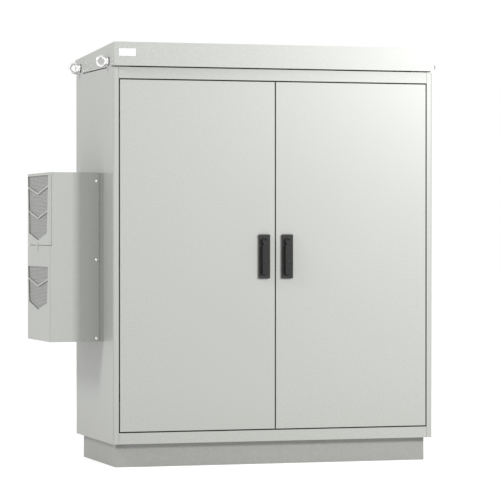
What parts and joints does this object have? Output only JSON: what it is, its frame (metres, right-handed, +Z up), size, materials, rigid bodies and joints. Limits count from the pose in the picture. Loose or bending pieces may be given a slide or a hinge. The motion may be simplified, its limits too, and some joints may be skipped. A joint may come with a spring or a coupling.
{
  "type": "outdoor battery cabinet",
  "caption": "Outdoor battery cabinet with two swing-handle doors, sloped rain roof, lifting eyes, inset plinth and a cooler hung on its left side; battery strings on shelves inside.",
  "frame": {"origin": "centre of the plinth's underside, on the axis of the four anchor holes", "axes": "+Z up, -Y out of the doors, -X towards the cooler"},
  "size_m": [1.5404, 0.6426, 1.605],
  "materials": {
    "cabinet_paint": "light grey powder coat, fine texture",
    "plinth_paint": "grey powder coat",
    "zinc_steel": "zinc-plated sheet steel",
    "bright_steel": "bright zinc plating",
    "black_diecast": "black die-cast zinc, fine texture",
    "black_plastic": "black moulded nylon",
    "black_foam": "closed-cell rubber foam",
    "foam_board": "film-faced foam board",
    "white_filter": "matted polyester fibre",
    "battery_case": "moulded ABS",
    "copper_bar": "tinned and bare copper",
    "coil_fins": "pressed fins on copper tube",
    "red_cable": "red rubber sheath",
    "black_cable": "black rubber sheath",
    "red_plastic": "red moulded plastic"
  },
  "bodies": {
    "cabinet": {"plinth": "plinth_paint", "floor_plate": "zinc_steel", "gland_plate": "zinc_steel", "cable_glands": "black_plastic", "left_side_panel": "cabinet_paint", "right_side_panel": "cabinet_paint", "rear_panel": "cabinet_paint", "top_plate": "zinc_steel", "top_rail": "cabinet_paint", "bottom_rail": "cabinet_paint", "centre_post": "cabinet_paint", "roof_cover": "cabinet_paint", "roof_brackets": "zinc_steel", "lifting_eyes": "bright_steel", "frame_hinges": "zinc_steel", "rod_keepers": "zinc_steel", "wall_insulation": "foam_board", "rack_uprights": "zinc_steel", "battery_shelves": "zinc_steel", "left_bay_batteries": "battery_case", "right_bay_batteries": "battery_case", "battery_links": "copper_bar", "dc_panel": "cabinet_paint", "cable_duct": "cabinet_paint", "positive_cables": "red_cable", "negative_cables": "black_cable", "cooler_chassis": "cabinet_paint", "cooler_housing": "cabinet_paint", "condenser_coil": "coil_fins", "fan_shroud": "black_plastic", "compressor": "black_diecast", "evaporator_coil": "coil_fins", "cooler_screws": "bright_steel"},
    "main_switch": {"main_switch": "red_plastic"},
    "filter_door": {"filter_door": "cabinet_paint", "filter_mat": "white_filter"},
    "condenser_fan": {"condenser_fan": "black_plastic"},
    "evaporator_fan": {"evaporator_fan": "black_plastic"},
    "left_door": {"left_door": "cabinet_paint", "left_door_gasket": "black_foam", "left_door_frame": "zinc_steel", "left_door_liner": "foam_board", "left_handle_tray": "black_plastic", "left_gearbox": "zinc_steel"},
    "left_handle_hub": {"left_handle_hub": "black_diecast"},
    "left_handle_lever": {"left_handle_lever": "black_diecast"},
    "left_lock_cylinder": {"left_lock_cylinder": "black_diecast"},
    "left_upper_rod": {"left_upper_rod": "zinc_steel"},
    "left_lower_rod": {"left_lower_rod": "zinc_steel"},
    "right_door": {"right_door": "cabinet_paint", "right_door_gasket": "black_foam", "right_door_frame": "zinc_steel", "right_door_liner": "foam_board", "right_handle_tray": "black_plastic", "right_gearbox": "zinc_steel"},
    "right_handle_hub": {"right_handle_hub": "black_diecast"},
    "right_handle_lever": {"right_handle_lever": "black_diecast"},
    "right_lock_cylinder": {"right_lock_cylinder": "black_diecast"},
    "right_upper_rod": {"right_upper_rod": "zinc_steel"},
    "right_lower_rod": {"right_lower_rod": "zinc_steel"}
  },
  "joints": [
    {"name": "left_door_hinge", "type": "hinge", "parent": "cabinet", "child": "left_door", "pos_m": [-0.603, -0.293, 0.8], "axis": [0, 0, -1], "range_deg": [0, 110]},
    {"name": "left_handle_swivel", "type": "hinge", "parent": "left_door", "child": "left_handle_hub", "pos_m": [-0.046, -0.3, 0.8555], "axis": [0, 1, 0], "range_deg": [0, 90]},
    {"name": "left_lever_lift", "type": "hinge", "parent": "left_handle_hub", "child": "left_handle_lever", "pos_m": [-0.046, -0.3155, 0.8555], "axis": [-1, 0, 0], "range_deg": [0, 30]},
    {"name": "left_key_turn", "type": "hinge", "parent": "left_handle_lever", "child": "left_lock_cylinder", "pos_m": [-0.046, -0.315, 0.777], "axis": [0, 1, 0], "range_deg": [0, 90]},
    {"name": "left_upper_rod_slide", "type": "slide", "parent": "left_door", "child": "left_upper_rod", "axis": [0, 0, -1], "range_m": [0, 0.01198]},
    {"name": "left_lower_rod_slide", "type": "slide", "parent": "left_door", "child": "left_lower_rod", "axis": [0, 0, 1], "range_m": [0, 0.01198]},
    {"name": "right_door_hinge", "type": "hinge", "parent": "cabinet", "child": "right_door", "pos_m": [0.603, -0.293, 0.8], "axis": [0, 0, 1], "range_deg": [0, 110]},
    {"name": "right_handle_swivel", "type": "hinge", "parent": "right_door", "child": "right_handle_hub", "pos_m": [0.046, -0.3, 0.8555], "axis": [0, -1, 0], "range_deg": [0, 90]},
    {"name": "right_lever_lift", "type": "hinge", "parent": "right_handle_hub", "child": "right_handle_lever", "pos_m": [0.046, -0.3155, 0.8555], "axis": [-1, 0, 0], "range_deg": [0, 30]},
    {"name": "right_key_turn", "type": "hinge", "parent": "right_handle_lever", "child": "right_lock_cylinder", "pos_m": [0.046, -0.315, 0.777], "axis": [0, 1, 0], "range_deg": [0, 90]},
    {"name": "right_upper_rod_slide", "type": "slide", "parent": "right_door", "child": "right_upper_rod", "axis": [0, 0, -1], "range_m": [0, 0.01198]},
    {"name": "right_lower_rod_slide", "type": "slide", "parent": "right_door", "child": "right_lower_rod", "axis": [0, 0, 1], "range_m": [0, 0.01198]},
    {"name": "main_switch_turn", "type": "hinge", "parent": "cabinet", "child": "main_switch", "pos_m": [-0.16, -0.235, 1.3785], "axis": [0, 1, 0], "range_deg": [0, 90]},
    {"name": "filter_door_hinge", "type": "hinge", "parent": "cabinet", "child": "filter_door", "pos_m": [-0.844, 0.046, 1.111], "axis": [0, 1, 0], "range_deg": [0, 75]},
    {"name": "condenser_fan_spin", "type": "hinge", "parent": "cabinet", "child": "condenser_fan", "pos_m": [-0.803, 0.046, 0.672], "axis": [-1, 0, 0], "continuous": true},
    {"name": "evaporator_fan_spin", "type": "hinge", "parent": "cabinet", "child": "evaporator_fan", "pos_m": [-0.69, 0.046, 0.962], "axis": [-1, 0, 0], "continuous": true}
  ],
  "couplings": [
    {"joint": "left_upper_rod_slide", "follows": "left_handle_swivel", "m_per_rad": 0.0075},
    {"joint": "left_lower_rod_slide", "follows": "left_handle_swivel", "m_per_rad": 0.0075},
    {"joint": "right_upper_rod_slide", "follows": "right_handle_swivel", "m_per_rad": 0.0075},
    {"joint": "right_lower_rod_slide", "follows": "right_handle_swivel", "m_per_rad": 0.0075}
  ]
}
